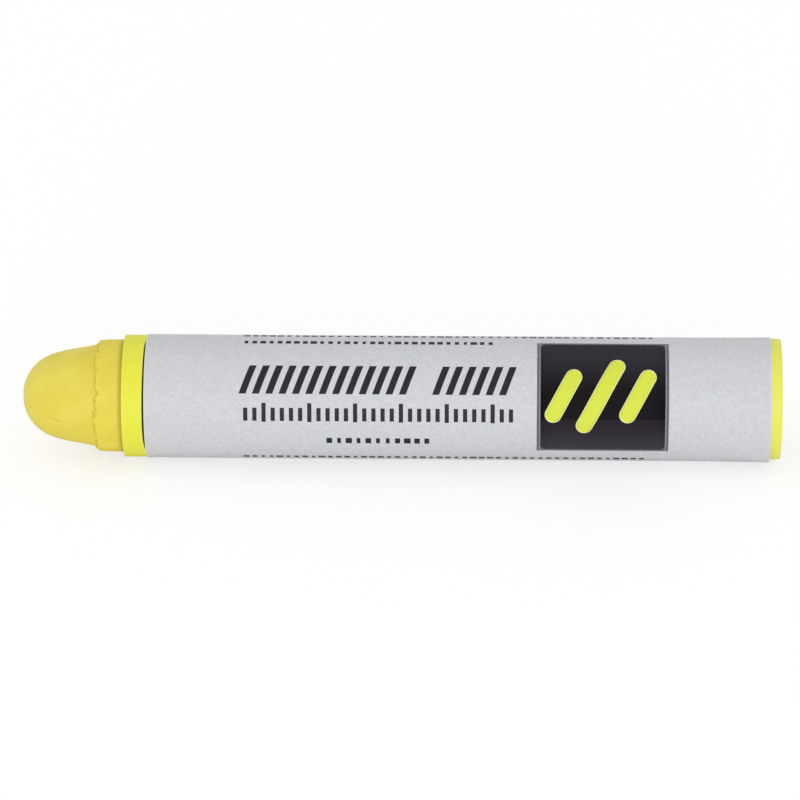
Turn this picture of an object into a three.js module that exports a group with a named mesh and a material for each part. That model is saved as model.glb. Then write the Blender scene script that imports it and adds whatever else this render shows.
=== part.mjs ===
// An industrial marking pen of the solid paint kind: a stick of hardened paint in a paper tube.
// A card follower behind the paint is pushed with a finger or a rod, and drives the stick out of the mouth as
// the nose wears down. The pen lies on its side along X, with its nose towards -X and its weight on Z = 0.
// All sizes are in millimetres.

import * as THREE from "three";

// Paint stick
const PAINT_DIAMETER = 17.46;
const NOSE_LENGTH = 11.8; // from the tip to the foot of the nose
const NOSE_TAPER = THREE.MathUtils.degToRad(10.4); // slope of the nose's flank to the axis

// Dried skin of paint, left as a collar behind the bare nose
const SKIN_THICKNESS = 0.73;
const SKIN_REACH = 4.1; // from the tube's mouth to the torn lip, on average
const SKIN_TUCK = 2.6; // skin inside the mouth
const SKIN_BOND = 0.02; // gap to the paint that it grew on
const LIP_ROUND = 0.45;

// The lip is torn: these waves run round it and add up to its ragged line
const TEAR_WAVES = [
  { count: 3, depth: 0.1, start: 0.6 },
  { count: 7, depth: 0.08, start: 2.1 },
  { count: 12, depth: 0.06, start: 4.4 },
  { count: 19, depth: 0.05, start: 1.3 },
];

// Paper tube, wound and glued in four layers from the bore outwards
const TUBE_LENGTH = 101.6;
const BORE_CLEARANCE = 0.05; // round the paint stick
const LINER_THICKNESS = 0.08;
const PLY_THICKNESS = 0.24;
const WRAP_THICKNESS = 0.08;
const GLUE_LINE = 0.02; // between any two glued papers

// Printed label, wrapped once round the tube and lapped over its own edge
const LABEL_THICKNESS = 0.08;
const FRONT_BAND = 3.6; // bare tube in front of the label
const REAR_BAND = 1.9; // bare tube behind the label
const LABEL_LAP = 5;
const LAP_RAMP = 1.7; // stretch over which the label climbs on to itself
const LAP_DIRECTION = THREE.MathUtils.degToRad(-40); // middle of the lap, turned from +Y towards +Z

// Card follower behind the paint, which was cast against it
const FOLLOWER_CLEARANCE = 0.06; // to the bore
const FOLLOWER_THICKNESS = 1.6;
const FOLLOWER_RECESS = 1.2; // its back, inside the rear end of the tube
const FOLLOWER_CHAMFER = 0.3;
const FOLLOWER_BOND = 0.02; // gap to the paint

const FACETS = 72; // flats round the pen, with one underneath
const BALL_STEPS = 12; // faces along the round of the nose
const LIP_STEPS = 4; // faces across the rounded lip

const STEP = (2 * Math.PI) / FACETS;
const FIRST_CORNER = (STEP - Math.PI) / 2; // turned from +Y towards +Z, as all angles round the pen are

const paintRadius = PAINT_DIAMETER / 2;
const neckRadius = paintRadius - SKIN_THICKNESS;
const boreRadius = paintRadius + BORE_CLEARANCE;
const followerRadius = boreRadius - FOLLOWER_CLEARANCE;

// Radii of the papers, each one wound on the one before
const liner = paper(boreRadius, LINER_THICKNESS);
const innerPly = paper(liner.outer + GLUE_LINE, PLY_THICKNESS);
const outerPly = paper(innerPly.outer + GLUE_LINE, PLY_THICKNESS);
const wrap = paper(outerPly.outer + GLUE_LINE, WRAP_THICKNESS);
const label = paper(wrap.outer + GLUE_LINE, LABEL_THICKNESS);

// Stations along X, with the whole pen centred on X = 0
const noseReach = NOSE_LENGTH + SKIN_REACH;
const tip = -(noseReach + TUBE_LENGTH) / 2;
const noseFoot = tip + NOSE_LENGTH;
const mouth = tip + noseReach;
const tubeRear = mouth + TUBE_LENGTH;
const skinRear = mouth + SKIN_TUCK;
const followerRear = tubeRear - FOLLOWER_RECESS;
const followerFront = followerRear - FOLLOWER_THICKNESS;
const paintRear = followerFront - FOLLOWER_BOND;
const axisHeight = label.outer * Math.cos(STEP / 2);

function paper(inner, thickness) {
  return { inner, outer: inner + thickness };
}

// A solid turned about X. The outline holds [station, radius] pairs, from the front end round to the rear.
function turned(outline) {
  const points = outline.map(([station, radius]) => new THREE.Vector2(radius, station));
  return new THREE.LatheGeometry(points, FACETS, Math.PI + STEP / 2).rotateZ(-Math.PI / 2);
}

// One layer of the tube, as long as the tube is.
function woundLayer({ inner, outer }) {
  return turned([
    [mouth, outer],
    [tubeRear, outer],
    [tubeRear, inner],
    [mouth, inner],
    [mouth, outer],
  ]);
}

// The outline of the nose: a ball at the tip, then a straight flank that leaves the ball without a corner and
// meets the neck at the foot of the nose. The ball's size follows from the flank.
function noseOutline() {
  const slope = Math.sin(NOSE_TAPER);
  const ball = (neckRadius * Math.cos(NOSE_TAPER) - NOSE_LENGTH * slope) / (1 - slope);
  const outline = [];
  for (let i = 0; i <= BALL_STEPS; i++) {
    const angle = ((Math.PI / 2 - NOSE_TAPER) * i) / BALL_STEPS;
    outline.push([tip + ball * (1 - Math.cos(angle)), ball * Math.sin(angle)]);
  }
  outline.push([noseFoot, neckRadius]);
  return outline;
}

// The hardened paint: the bare nose, the neck under the skin, and the long body in the tube.
function paintStick() {
  return turned([
    ...noseOutline(),
    [skinRear + SKIN_BOND, neckRadius],
    [skinRear + SKIN_BOND, paintRadius],
    [paintRear, paintRadius],
    [paintRear, 0],
  ]);
}

// How far the torn lip wanders along X at an angle round the pen.
function tearAt(angle) {
  const waves = TEAR_WAVES.map(({ count, depth, start }) => depth * Math.sin(count * angle + start));
  return waves.reduce((sum, wave) => sum + wave, 0);
}

// The collar of dried skin, with its torn and rounded lip in front.
function skinCollar() {
  const innerRadius = neckRadius + SKIN_BOND;
  return sweptRing((angle) => {
    const lip = mouth - SKIN_REACH + tearAt(angle);
    const section = [[lip, innerRadius]];
    for (let i = 0; i <= LIP_STEPS; i++) {
      const bend = ((Math.PI / 2) * i) / LIP_STEPS;
      const back = LIP_ROUND * (1 - Math.cos(bend));
      const below = LIP_ROUND * (1 - Math.sin(bend));
      section.push([lip + back, paintRadius - below]);
    }
    section.push([skinRear, paintRadius], [skinRear, innerRadius]);
    return section;
  });
}

// A closed ring about X whose section changes on the way round. sectionAt gives [station, radius] corners,
// from the inside of the front edge over the outside to the rear.
function sweptRing(sectionAt) {
  const positions = [];
  const faces = [];
  const corners = sectionAt(0).length;
  for (let i = 0; i < FACETS; i++) {
    const angle = FIRST_CORNER + i * STEP;
    for (const [station, radius] of sectionAt(angle)) {
      positions.push(station, radius * Math.cos(angle), radius * Math.sin(angle));
    }
    const nextRow = (i + 1) % FACETS;
    for (let c = 0; c < corners; c++) {
      const nextCorner = (c + 1) % corners;
      const here = i * corners + c;
      const along = i * corners + nextCorner;
      const round = nextRow * corners + c;
      const across = nextRow * corners + nextCorner;
      faces.push(here, round, along, round, across, along);
    }
  }
  const ring = new THREE.BufferGeometry();
  ring.setAttribute("position", new THREE.Float32BufferAttribute(positions, 3));
  ring.setIndex(faces);
  return ring;
}

// The label seen end on. It starts at its leading edge, goes once round, climbs over that edge and laps on
// top of itself. A place round the pen is counted in facets from the first corner, so corners are whole.
function labelSection() {
  const facetArc = label.inner * STEP;
  const leading = (LAP_DIRECTION - FIRST_CORNER) / STEP - LABEL_LAP / facetArc / 2;
  const overLeading = leading + FACETS;
  const rampFoot = overLeading - LAP_RAMP / facetArc;
  const trailing = overLeading + LABEL_LAP / facetArc;
  const places = [leading, rampFoot, overLeading, trailing];
  for (let corner = Math.ceil(leading); corner < trailing; corner++) {
    places.push(corner);
  }
  places.sort((a, b) => a - b);
  const pathAt = (radius) =>
    places.map((place) => {
      const climbed = THREE.MathUtils.smoothstep(place, rampFoot, overLeading);
      const reach = toFlat(radius + climbed * (LABEL_THICKNESS + GLUE_LINE), place);
      const angle = FIRST_CORNER + place * STEP;
      return new THREE.Vector2(reach * Math.cos(angle), reach * Math.sin(angle));
    });
  return new THREE.Shape([...pathAt(label.outer), ...pathAt(label.inner).reverse()]);
}

// Distance from the axis to the flats whose corners lie at a radius, at a place round the pen.
function toFlat(cornerRadius, place) {
  const fromMiddle = place - Math.floor(place) - 0.5;
  return (cornerRadius * Math.cos(STEP / 2)) / Math.cos(fromMiddle * STEP);
}

// The label's section, drawn in Y and Z and carried along X between the two bare bands.
function wrappedLabel() {
  const depth = TUBE_LENGTH - FRONT_BAND - REAR_BAND;
  const placing = new THREE.Matrix4()
    .makeBasis(new THREE.Vector3(0, 1, 0), new THREE.Vector3(0, 0, 1), new THREE.Vector3(1, 0, 0))
    .setPosition(mouth + FRONT_BAND, 0, 0);
  return new THREE.ExtrudeGeometry(labelSection(), { depth, bevelEnabled: false }).applyMatrix4(placing);
}

// The card disc that is pushed, with both its rims pressed to a chamfer.
function followerDisc() {
  const faceRadius = followerRadius - FOLLOWER_CHAMFER;
  return turned([
    [followerFront, 0],
    [followerFront, faceRadius],
    [followerFront + FOLLOWER_CHAMFER, followerRadius],
    [followerRear - FOLLOWER_CHAMFER, followerRadius],
    [followerRear, faceRadius],
    [followerRear, 0],
  ]);
}

const PAINT = new THREE.MeshStandardMaterial({ color: "#e7d65a", roughness: 0.55 });
const SKIN = new THREE.MeshStandardMaterial({ color: "#e3cc58", roughness: 0.7 });
const FLUORESCENT_PAPER = new THREE.MeshStandardMaterial({ color: "#e8ea4d", roughness: 0.5 });
const BOARD = new THREE.MeshStandardMaterial({ color: "#cdbf9c", roughness: 0.9 });
const WAXED_PAPER = new THREE.MeshStandardMaterial({ color: "#ddd5b8", roughness: 0.4 });
const LABEL_PAPER = new THREE.MeshStandardMaterial({ color: "#d2d2d7", roughness: 0.45, metalness: 0.1 });

function piece(name, geometry, material) {
  const mesh = new THREE.Mesh(geometry, material);
  mesh.name = name;
  return mesh;
}

const tube = new THREE.Group().add(
  piece("tube_liner", woundLayer(liner), WAXED_PAPER),
  piece("tube_inner_ply", woundLayer(innerPly), BOARD),
  piece("tube_outer_ply", woundLayer(outerPly), BOARD),
  piece("tube_wrap", woundLayer(wrap), FLUORESCENT_PAPER),
  piece("label", wrappedLabel(), LABEL_PAPER),
);

const stick = new THREE.Group().add(
  piece("paint_stick", paintStick(), PAINT),
  piece("paint_skin", skinCollar(), SKIN),
  piece("follower_disc", followerDisc(), BOARD),
);

const pen = new THREE.Group().add(tube, stick);
pen.position.z = axisHeight;

export default pen;
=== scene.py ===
"""The looks of a solid paint marking pen, built in Blender round the pen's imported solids.

Lengths are in metres, in the pen's own frame: X runs from the nose to the rear end, and Z rises from the
surface that the pen lies on. A turn about the pen's axis is an angle from -Y towards +Z, so a turn of nought
faces straight to the front, and a quarter of a circle faces up.
"""

import logging
import math
from collections.abc import Callable
from dataclasses import asdict, dataclass, replace
from enum import Enum
from functools import reduce
from typing import ClassVar

import bpy
import numpy as np
from mathutils import Matrix, Vector


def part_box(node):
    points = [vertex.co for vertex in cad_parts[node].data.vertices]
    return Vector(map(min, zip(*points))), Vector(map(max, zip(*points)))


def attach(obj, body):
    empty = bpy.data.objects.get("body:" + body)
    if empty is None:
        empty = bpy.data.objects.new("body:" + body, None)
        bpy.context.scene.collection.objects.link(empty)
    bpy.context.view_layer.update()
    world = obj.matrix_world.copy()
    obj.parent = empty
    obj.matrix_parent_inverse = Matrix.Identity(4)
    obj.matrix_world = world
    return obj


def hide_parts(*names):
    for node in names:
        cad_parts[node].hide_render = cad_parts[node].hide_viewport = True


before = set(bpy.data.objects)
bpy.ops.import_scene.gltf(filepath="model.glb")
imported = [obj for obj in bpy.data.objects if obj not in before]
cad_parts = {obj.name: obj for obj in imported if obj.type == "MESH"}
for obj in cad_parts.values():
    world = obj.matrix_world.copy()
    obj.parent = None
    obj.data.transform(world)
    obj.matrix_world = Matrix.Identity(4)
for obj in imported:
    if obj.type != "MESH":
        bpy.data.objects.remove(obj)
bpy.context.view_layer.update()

LOG = logging.getLogger("marking_pen")
MM = 0.001
SIDES = 288  # flats round a turned piece
SHARP_EDGE = math.radians(35)  # edges sharper than this aren't shaded smooth
FACING = math.radians(32)  # turn of the print's middle, and the camera's elevation
EVEN = (1.0, 1.0, 1.0)  # a scale that draws nothing out
NARROWEST = 0.02 * MM  # half the width of a stroke's first row

# The line of a torn rim has waves, teeth and chips. Their sizes are in grains, and their heights are shares
# of the tear's depth. The size of the pits beside it is a share of a dent's.
WAVE_SIZE = 5.0
WAVE_HEIGHT = 1.7
TOOTH_HEIGHT = 0.7
CHIP_SIZE = 1.7
CHIP_RAMP = (0.73, 0.77, 0.0, 0.55)
PIT_SIZE = 0.35
PIT_RAMP = (0.45, 0.7)

Colour = tuple[float, float, float, float]
Ramp = tuple[float, float, float, float]  # two levels, and what is given at each
Span = tuple[float, float]
Outline = list[Span]  # stations and radii
Face = tuple[int, ...]
Reshaping = Callable[[np.ndarray, np.ndarray, np.ndarray], np.ndarray]
Piece = bpy.types.Object
Socket = bpy.types.NodeSocket
Value = Socket | float | int | bool | tuple | Vector | bpy.types.Material | None
Inputs = dict[int | str, Value]


class Body(Enum):
    """The pen's moving bodies."""

    TUBE = "tube"
    STICK = "stick"


class Slot(Enum):
    """The record's material slots."""

    WAXED_PAPER = "waxed_paper"
    BOARD = "board"
    YELLOW_PAPER = "yellow_paper"
    LABEL_PAPER = "label_paper"
    PAINT = "paint"
    DRIED_SKIN = "dried_skin"


def colour(red: float, green: float, blue: float) -> Colour:
    """Turns a colour of 0 to 255 a channel, as a screen shows it, into Blender's linear colour."""
    shares = np.array([red, green, blue]) / 255
    linear = np.where(shares <= 0.04045, shares / 12.92, ((shares + 0.055) / 1.055) ** 2.4)
    return (*(float(share) for share in linear), 1.0)


@dataclass(frozen=True)
class PenSizes:
    """Where the pen's parts begin and end along X, and their radii about its axis."""

    tip: float
    mouth: float
    rear: float
    skin_rear: float
    label_front: float
    label_rear: float
    follower_front: float
    follower_rear: float
    axis_height: float
    radius: dict[str, float]  # of each node, to its flats, so smooth pieces run just inside its corners
    nose_length: float = 11.8 * MM
    nose_taper: float = math.radians(10.4)
    skin_thickness: float = 0.73 * MM
    mouth_trim: ClassVar[float] = 0.12 * MM  # how much shorter the tube is cut than its solid, at the mouth

    @classmethod
    def from_frame(cls) -> "PenSizes":
        """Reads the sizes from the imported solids' boxes.

        Returns:
            The sizes.
        """
        boxes = {node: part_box(node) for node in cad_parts}
        low, high = boxes["tube_wrap"]
        return cls(
            tip=boxes["paint_stick"][0].x,
            mouth=low.x + cls.mouth_trim,
            rear=high.x,
            skin_rear=boxes["paint_skin"][1].x,
            label_front=boxes["label"][0].x,
            label_rear=boxes["label"][1].x,
            follower_front=boxes["follower_disc"][0].x,
            follower_rear=boxes["follower_disc"][1].x,
            axis_height=(low.z + high.z) / 2,
            radius={node: (top.z - foot.z) / 2 for node, (foot, top) in boxes.items()},
        )

    @property
    def nose_foot(self) -> float:
        """Station of the nose's foot, where the dried skin is torn."""
        return self.tip + self.nose_length

    @property
    def neck_radius(self) -> float:
        """Radius of the bare paint at the foot of the nose."""
        return self.radius["paint_stick"] - self.skin_thickness

    def on_pen(self, x: float, radius: float, turn: float) -> tuple[float, float, float]:
        """Gives the place at a station, a radius and a turn."""
        return (x, -radius * math.cos(turn), self.axis_height + radius * math.sin(turn))


class NodeGraph:
    """A node tree that is put together one node at a time."""

    def __init__(self, tree: bpy.types.NodeTree) -> None:
        """Starts on an existing tree."""
        self.tree = tree

    def node(self, kind: str, inputs: Inputs | None = None, **settings: object) -> bpy.types.Node:
        """Adds a node.

        Args:
            kind: The node's type.
            inputs: What each input takes, by its name or number: a plain value or another node's socket.
            **settings: The node's own properties.

        Returns:
            The new node.
        """
        node = self.tree.nodes.new(kind)
        for name, setting in settings.items():
            setattr(node, name, setting)
        for key, value in (inputs or {}).items():
            self.feed(node.inputs[key], value)
        return node

    def result(self, kind: str, inputs: Inputs | None = None, **settings: object) -> Socket:
        """Adds a node and returns its first result."""
        return self.node(kind, inputs, **settings).outputs[0]

    def feed(self, socket: Socket, value: Value) -> None:
        """Links a socket to an input, or sets the input to a plain value."""
        if isinstance(value, Socket):
            self.tree.links.new(value, socket)
        else:
            socket.default_value = value

    def math(self, operation: str, *values: Value, **settings: object) -> Socket:
        """Adds a Math node and returns its result."""
        return self.result("ShaderNodeMath", dict(enumerate(values)), operation=operation, **settings)

    def times(self, first: Value, second: Value) -> Socket:
        """Multiplies two numbers."""
        return self.math("MULTIPLY", first, second)

    def plus(self, first: Value, second: Value) -> Socket:
        """Adds two numbers."""
        return self.math("ADD", first, second)

    def minus(self, first: Value, second: Value) -> Socket:
        """Takes the second number from the first."""
        return self.math("SUBTRACT", first, second)

    def highest(self, *values: Value) -> Socket:
        """Returns the highest of some numbers."""
        return reduce(lambda one, other: self.math("MAXIMUM", one, other), values)

    def along(self, place: Value) -> list[Socket]:
        """Returns the X, Y and Z of a vector."""
        return list(self.node("ShaderNodeSeparateXYZ", {0: place}).outputs)

    def vector(self, x: Value, y: Value, z: Value) -> Socket:
        """Joins three numbers into a vector."""
        return self.result("ShaderNodeCombineXYZ", {0: x, 1: y, 2: z})

    def vectors(self, operation: str, *values: Value, **named: Value) -> Socket:
        """Adds a Vector Math node and returns its result: a number for a length, distance or dot product."""
        node = self.node("ShaderNodeVectorMath", {**dict(enumerate(values)), **named}, operation=operation)
        return node.outputs[1 if operation in {"DISTANCE", "DOT_PRODUCT", "LENGTH"} else 0]

    def torn(self, place: Value, axis_height: Value, radius: Value, grain: Value, seed: Value) -> Socket:
        """Adds the line of a torn rim, which depends on the turn about the pen's axis alone.

        Args:
            place: Where the line is read.
            axis_height: Height of the axis.
            radius: Radius of the rim.
            grain: Size of its teeth.
            seed: Any number, which picks another tear.

        Returns:
            How far the rim wanders along X, mostly between -1 and 1.
        """
        _, y, z = self.along(place)
        spoke = self.vectors("NORMALIZE", self.vector(0.0, y, self.minus(z, axis_height)))
        on_rim = self.vectors("SCALE", spoke, Scale=radius)
        waves = self.swing(on_rim, self.times(grain, WAVE_SIZE), detail=1.0, seed=seed)
        teeth = self.swing(on_rim, grain, detail=3.0, seed=seed)
        chips = self.noise(on_rim, self.times(grain, CHIP_SIZE), detail=0.0, seed=seed)
        line = self.math("MULTIPLY_ADD", waves, WAVE_HEIGHT, self.times(teeth, TOOTH_HEIGHT))
        return self.plus(line, self.ramp(chips, *CHIP_RAMP))

    def creased(self, place: Value, start: Value, end: Value, width: Value) -> Socket:
        """Adds a straight crease.

        Args:
            place: Where the crease is read.
            start: One of its ends.
            end: Its other end.
            width: How far it reaches to either side.

        Returns:
            1 along the middle of the crease, which falls to 0 at its sides.
        """
        run, gone = self.vectors("SUBTRACT", end, start), self.vectors("SUBTRACT", place, start)
        shares = self.vectors("DOT_PRODUCT", gone, run), self.vectors("DOT_PRODUCT", run, run)
        nearest = self.vectors("SCALE", run, Scale=self.math("DIVIDE", *shares, use_clamp=True))
        return self.ramp(self.vectors("DISTANCE", gone, nearest), 0.0, width, 1.0, 0.0)

    def noise(self, place: Value, size: Value, detail: float, seed: Value) -> Socket:
        """Adds noise with lumps of about a size.

        Args:
            place: Where the noise is read.
            size: Size of a lump, in metres.
            detail: How many finer layers it has.
            seed: Any number, which picks another pattern.

        Returns:
            A number between 0 and 1.
        """
        inputs = {"Vector": place, "W": seed, "Scale": self.math("DIVIDE", 1.0, size), "Detail": detail}
        return self.result("ShaderNodeTexNoise", inputs, noise_dimensions="4D")

    def swing(self, place: Value, size: Value, detail: float, seed: Value) -> Socket:
        """Adds noise that goes as far above nought as below it."""
        return self.minus(self.noise(place, size, detail, seed), 0.5)

    def ramp(self, value: Value, low: Value, high: Value, start: Value = 0.0, end: Value = 1.0) -> Socket:
        """Goes smoothly from start to end while a value goes from low to high."""
        inputs = {0: value, 1: low, 2: high, 3: start, 4: end}
        return self.result("ShaderNodeMapRange", inputs, interpolation_type="SMOOTHSTEP")


@dataclass(frozen=True)
class Grain:
    """A pattern of noise on a surface, and the patches that it makes."""

    size: float  # of a lump
    detail: float  # how many finer layers it has
    seed: float
    levels: Span = (0.3, 0.7)  # patches grow from the lower level of the noise to the upper one
    shares: Span = (0.0, 1.0)  # how strong they are at these levels
    scale: tuple[float, float, float] = EVEN  # of each axis, where less than 1 draws the lumps out


class Finish:
    """A surface finish. Each kind of finish paints its own material, once for each name."""

    made: ClassVar[dict[str, bpy.types.Material]] = {}
    name: str

    def material(self) -> bpy.types.Material:
        """Makes the finish's material, or returns the one made before."""
        if self.name not in self.made:
            material = bpy.data.materials.new(self.name)
            material.use_nodes = True
            self.paint(SurfaceGraph(material))
            self.made[self.name] = material
        return self.made[self.name]

    def paint(self, graph: "SurfaceGraph") -> None:
        """Fills the material's nodes."""
        raise NotImplementedError


class SurfaceGraph(NodeGraph):
    """A material's nodes round its one Principled surface."""

    def __init__(self, material: bpy.types.Material) -> None:
        """Starts with the material's own surface node."""
        super().__init__(material.node_tree)
        self.surface = self.tree.nodes["Principled BSDF"]
        self.place = self.node("ShaderNodeTexCoord").outputs["Object"]

    def grain(self, grain: Grain) -> Socket:
        """Adds a grain's noise, a number between 0 and 1."""
        place = self.place
        if grain.scale != EVEN:
            place = self.result("ShaderNodeMapping", {"Vector": place, "Scale": grain.scale})
        return self.noise(place, grain.size, grain.detail, grain.seed)

    def patches(self, grain: Grain, noise: Value = None) -> Socket:
        """Adds a grain's patches, on a noise that is there already or else on new noise of its own."""
        return self.ramp(self.grain(grain) if noise is None else noise, *grain.levels, *grain.shares)

    def radius(self, axis_height: float) -> Socket:
        """Returns the distance from the pen's axis."""
        _, y, z = self.along(self.place)
        rise = self.minus(z, axis_height)
        return self.math("SQRT", self.plus(self.math("POWER", y, 2.0), self.math("POWER", rise, 2.0)))

    def blend(self, share: Value, first: Value, second: Value) -> Socket:
        """Mixes two colours."""
        return self.node("ShaderNodeMix", {0: share, 6: first, 7: second}, data_type="RGBA").outputs[2]

    def coats(self, ground: Value, *coats: tuple[Value, Value]) -> Value:
        """Lays coats of colour over a ground.

        Args:
            ground: The colour beneath.
            *coats: The share and the colour of each coat, from the lowest one up.

        Returns:
            The colour that shows.
        """
        for share, coat in coats:
            ground = self.blend(share, ground, coat)
        return ground

    def bump(self, height: Value, depth: float, over: Value = None) -> Socket:
        """Raises the surface where a height is high.

        Args:
            height: A number between 0 and 1.
            depth: How far 1 stands above 0, in metres.
            over: The normal of a coarser bump beneath.

        Returns:
            The new normal.
        """
        coarser = {} if over is None else {"Normal": over}
        return self.result("ShaderNodeBump", {"Height": height, "Distance": depth, **coarser})

    def dress(self, **inputs: Value) -> None:
        """Sets the surface's inputs. A name's underscores stand for spaces."""
        for name, value in inputs.items():
            self.feed(self.surface.inputs[name.replace("_", " ")], value)


@dataclass(frozen=True)
class Tear:
    """The torn rim of the dried skin."""

    rim: float  # its mean station
    axis_height: float
    radius: float
    depth: float = 0.7 * MM
    grain: float = 0.9 * MM
    seed: float = 4.0


@dataclass(frozen=True)
class Crease:
    """A short straight crease in the nose."""

    start: Vector
    end: Vector
    width: float = 0.36 * MM
    depth: float = 0.08 * MM


@dataclass(frozen=True)
class WaxyPaint(Finish):
    """Hardened paint: mottled, with fine pores, scuffed by the bore, and with painted shade at the tear and
    the crease.
    """

    tear: Tear
    crease: Crease
    name: str = "waxy_paint"
    light: Colour = colour(234, 219, 90)
    deep: Colour = colour(229, 212, 78)
    pore: Colour = colour(200, 182, 62)
    scuff: Colour = colour(222, 203, 70)
    # painted shade: the torn lip's shadow on the paint in front of it, and the shade in the crease
    dirt: Colour = colour(186, 168, 62)
    clouds: Grain = Grain(4.2 * MM, 2.0, 1.7, (0.36, 0.64))
    mottle: Grain = Grain(0.5 * MM, 3.0, 4.2)
    mottled: float = 0.25  # share of the deeper colour in it
    fine_pores: Grain = Grain(0.32 * MM, 1.0, 8.8, (0.72, 0.8))
    pits: Grain = Grain(0.9 * MM, 1.0, 3.6, (0.76, 0.8))
    pored: float = 0.5  # share of the pores' own colour
    scuffs: Grain = Grain(0.45 * MM, 3.0, 5.1, (0.46, 0.7), (0.0, 0.6), (0.04, 1.0, 1.0))
    scuff_start: Span = (3.0 * MM, 7.0 * MM)  # behind the tear, as the next two
    dirt_front: Span = (-0.46 * MM, 0.0)  # where the painted shade in front of the tear begins
    dirt_rear: Span = (0.4 * MM, 1.0 * MM)  # where it ends
    tear_dirt: Ramp = (0.3, 0.6, 0.35, 0.75)  # by the mottle, as the next
    crease_dirt: Ramp = (0.35, 0.6, 0.06, 0.28)
    waves: Grain = Grain(1.6 * MM, 2.0, 2.9)
    roughness: Span = (0.46, 0.6)

    def paint(self, graph: SurfaceGraph) -> None:
        """Mixes broad clouds and fine mottling, then adds the scuffs, painted shade at the tear and the
        crease, and a few open pores.
        """
        mottle = graph.grain(self.mottle)
        pores = graph.highest(graph.patches(self.fine_pores), graph.patches(self.pits))
        tear, crease = self.tear, self.crease
        torn = graph.torn(graph.place, tear.axis_height, tear.radius, tear.grain, tear.seed)
        line = graph.math("MULTIPLY_ADD", torn, tear.depth, tear.rim)
        behind = graph.minus(graph.along(graph.place)[0], line)
        scuffed = graph.times(graph.ramp(behind, *self.scuff_start), graph.patches(self.scuffs))
        near = graph.minus(graph.ramp(behind, *self.dirt_front), graph.ramp(behind, *self.dirt_rear))
        tear_shade = graph.times(near, graph.ramp(mottle, *self.tear_dirt))
        creased = graph.creased(graph.place, crease.start, crease.end, crease.width)
        crease_shade = graph.times(creased, graph.ramp(mottle, *self.crease_dirt))
        waves = graph.bump(graph.grain(self.waves), depth=0.05 * MM)
        relief = graph.bump(mottle, depth=0.02 * MM, over=waves)
        graph.dress(
            Base_Color=graph.coats(
                self.deep,
                (graph.patches(self.clouds), self.light),
                (graph.times(mottle, self.mottled), self.deep),
                (scuffed, self.scuff),
                # painted shade in front of the torn lip and in the crease
                (graph.highest(tear_shade, crease_shade), self.dirt),
                (graph.times(pores, self.pored), self.pore),
            ),
            Roughness=graph.ramp(mottle, *self.mottle.levels, *self.roughness),
            Specular_IOR_Level=0.35,
            Subsurface_Weight=0.12,
            Subsurface_Radius=(1.0, 0.75, 0.2),
            Subsurface_Scale=0.8 * MM,
            Normal=graph.bump(graph.minus(1.0, pores), depth=0.03 * MM, over=relief),
        )


@dataclass(frozen=True)
class DriedSkin(Finish):
    """The dried film on the paint: duller, finely wrinkled along the pen, with painted shade in a ring at the
    tube's mouth.
    """

    mouth: float
    name: str = "peeled_skin"
    light: Colour = colour(237, 220, 84)
    deep: Colour = colour(230, 212, 76)
    # painted shade: the shadow that the tube's mouth casts on the skin
    rubbed: Colour = colour(176, 162, 44)
    clouds: Grain = Grain(2.4 * MM, 3.0, 6.1, (0.35, 0.65))
    wrinkles: Grain = Grain(0.45 * MM, 4.0, 3.3, (0.55, 0.8), (0.0, 0.5), (0.35, 1.0, 1.0))
    rub_wander: float = 0.3 * MM  # of the edges of the ring of painted shade
    rub_front: Ramp = (-0.85 * MM, 0.1 * MM, 0.0, 0.75)  # behind the mouth, as the next
    rub_rear: Ramp = (0.2 * MM, 1.05 * MM, 1.0, 0.25)
    rough_levels: Span = (0.3, 0.7)  # of the clouds
    roughness: Span = (0.55, 0.68)

    def paint(self, graph: SurfaceGraph) -> None:
        """Mixes clouds with wrinkles drawn out along X, and darkens a ring at the tube's mouth with painted
        shade.
        """
        clouds, wrinkles = graph.grain(self.clouds), graph.grain(self.wrinkles)
        x = graph.plus(graph.along(graph.place)[0], graph.times(clouds, self.rub_wander))
        behind = graph.minus(x, self.mouth)
        rubbed = graph.times(graph.ramp(behind, *self.rub_front), graph.ramp(behind, *self.rub_rear))
        graph.dress(
            Base_Color=graph.coats(
                self.deep,
                (graph.patches(self.clouds, clouds), self.light),
                # painted shade at the tube's mouth
                (rubbed, self.rubbed),
                (graph.patches(self.wrinkles, wrinkles), self.deep),
            ),
            Roughness=graph.ramp(clouds, *self.rough_levels, *self.roughness),
            Specular_IOR_Level=0.3,
            Normal=graph.bump(wrinkles, depth=0.04 * MM, over=graph.bump(clouds, depth=0.08 * MM)),
        )


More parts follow.
